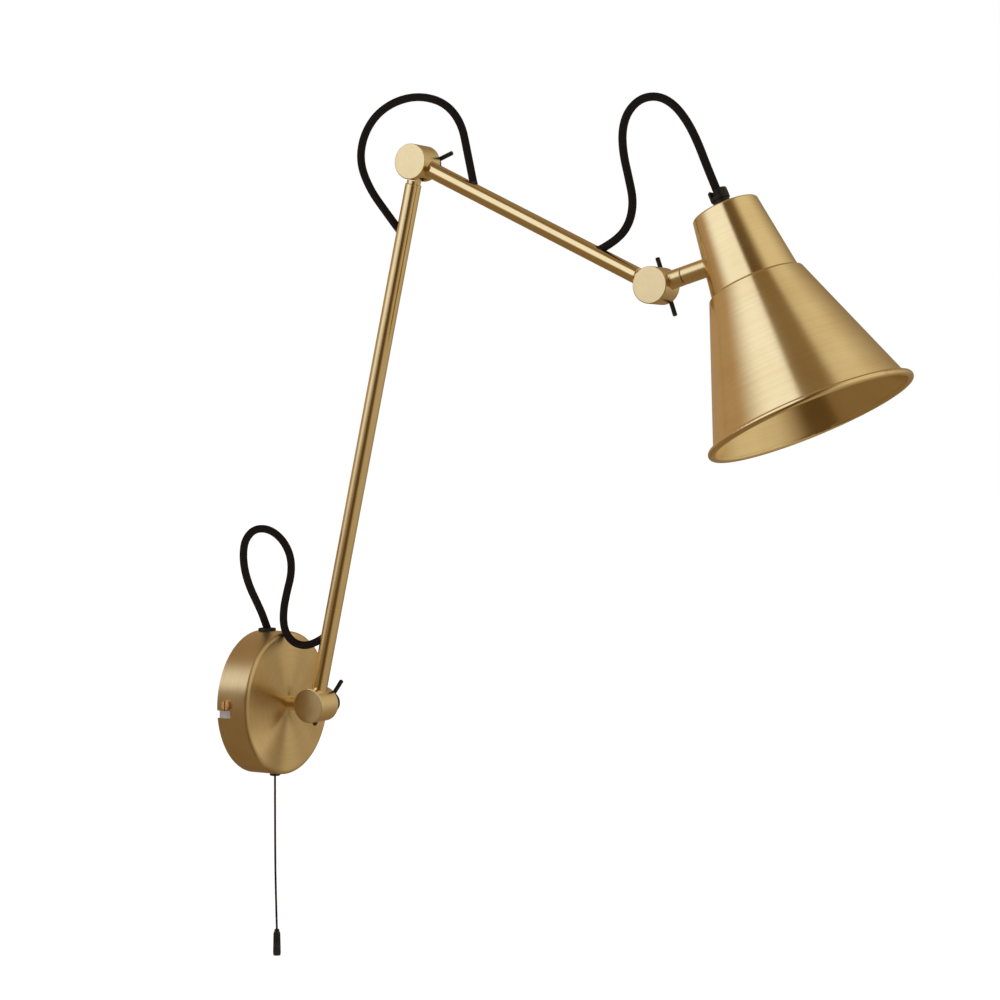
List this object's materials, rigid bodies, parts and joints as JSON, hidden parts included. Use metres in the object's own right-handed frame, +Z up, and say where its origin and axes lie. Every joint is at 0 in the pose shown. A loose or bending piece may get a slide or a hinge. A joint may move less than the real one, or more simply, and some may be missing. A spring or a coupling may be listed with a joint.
{
  "type": "swing arm wall sconce",
  "caption": "Swing arm wall sconce with a round rose, tubular arms on clamped knuckles, a flared metal shade, looping flex and a pull cord switch.",
  "frame": {"origin": "centre of the rose's back, on the wall, midway between the two fixing holes", "axes": "+Z up, -Y out of the wall into the room, X level along the wall; the knuckles turn about X"},
  "size_m": [0.136, 0.4803, 0.596],
  "materials": {
    "satin_brass": "satin, lathe-brushed",
    "turned_brass": "turned",
    "plain_brass": "plain",
    "plated_steel": "zinc plated",
    "black_metal": "satin black",
    "black_rubber": "matt",
    "fibre_washer": "fibre",
    "black_flex": "braided",
    "white_plastic": "moulded",
    "black_plastic": "moulded",
    "black_phenolic": "moulded",
    "pull_cord_braid": "braided",
    "plunger_plastic": "moulded"
  },
  "bodies": {
    "wall": {"wall_bracket": "plated_steel", "rose_cup": "satin_brass", "rose_screws": "plain_brass", "earth_screw": "plain_brass", "stem": "turned_brass", "stem_washer": "plain_brass", "stem_nut": "plain_brass", "flex_grommet": "black_rubber", "terminal_block": "white_plastic", "terminal_screws": "plain_brass", "pull_switch": "white_plastic", "cord_guide": "black_plastic", "flex_in_rose": "black_flex", "flex_base_loop": "black_flex"},
    "lower_arm": {"base_drum": "satin_brass", "base_washers": "fibre_washer", "lower_arm_tube": "satin_brass", "lower_arm_tongue": "turned_brass", "flex_in_lower_arm": "black_flex", "flex_elbow_loop": "black_flex"},
    "upper_arm": {"elbow_drum": "satin_brass", "elbow_washers": "fibre_washer", "upper_arm_tube": "satin_brass", "upper_arm_tongue": "turned_brass", "flex_in_upper_arm": "black_flex", "flex_head_loop": "black_flex"},
    "head_knuckle": {"head_drum": "satin_brass", "head_washers": "fibre_washer", "swivel_stub": "turned_brass", "retainer_washer": "plain_brass", "retainer_screw": "plain_brass"},
    "shade": {"swivel_sleeve": "turned_brass", "sleeve_nut": "plain_brass", "shade": "satin_brass", "cord_grip": "black_plastic", "nipple": "plain_brass", "nipple_washer": "plain_brass", "nipple_nut": "plain_brass", "holder_cap": "black_phenolic", "holder_body": "black_phenolic", "lamp_contact": "plain_brass", "flex_in_shade": "black_flex"},
    "base_clamp": {"base_clamp_screw": "black_metal", "base_clamp_bar": "black_metal"},
    "elbow_clamp": {"elbow_clamp_screw": "black_metal", "elbow_clamp_bar": "black_metal"},
    "head_clamp": {"head_clamp_screw": "black_metal", "head_clamp_bar": "black_metal"},
    "pull_cord": {"switch_plunger": "plunger_plastic", "pull_cord": "pull_cord_braid", "pull_toggle": "black_plastic"}
  },
  "joints": [
    {"name": "base_tilt", "type": "hinge", "parent": "wall", "child": "lower_arm", "pos_m": [0, -0.048, 0], "axis": [1, 0, 0], "range_deg": [-12.7, 62.3], "deforming": ["flex_base_loop"]},
    {"name": "elbow", "type": "hinge", "parent": "lower_arm", "child": "upper_arm", "pos_m": [0, -0.13154, 0.3707], "axis": [1, 0, 0], "range_deg": [-88.3, 14.7], "deforming": ["flex_elbow_loop"]},
    {"name": "head_tilt", "type": "hinge", "parent": "upper_arm", "child": "head_knuckle", "pos_m": [0, -0.3113, 0.28303], "axis": [1, 0, 0], "range_deg": [-45, 50], "deforming": ["flex_head_loop"]},
    {"name": "shade_swivel", "type": "hinge", "parent": "head_knuckle", "child": "shade", "pos_m": [0, -0.3113, 0.28303], "axis": [0, -0.9601, 0.2795], "range_deg": [-60, 60]},
    {"name": "base_clamp_turn", "type": "hinge", "parent": "lower_arm", "child": "base_clamp", "pos_m": [0, -0.048, 0], "axis": [1, 0, 0], "range_deg": [-90, 90]},
    {"name": "elbow_clamp_turn", "type": "hinge", "parent": "upper_arm", "child": "elbow_clamp", "pos_m": [0, -0.13154, 0.3707], "axis": [1, 0, 0], "range_deg": [-90, 90]},
    {"name": "head_clamp_turn", "type": "hinge", "parent": "head_knuckle", "child": "head_clamp", "pos_m": [0, -0.3113, 0.28303], "axis": [1, 0, 0], "range_deg": [-90, 90]},
    {"name": "pull_switch_cord", "type": "slide", "parent": "wall", "child": "pull_cord", "axis": [0, 0, -1], "range_m": [0, 0.008], "stiffness_N_per_m": 600, "springref_m": -0.002}
  ]
}
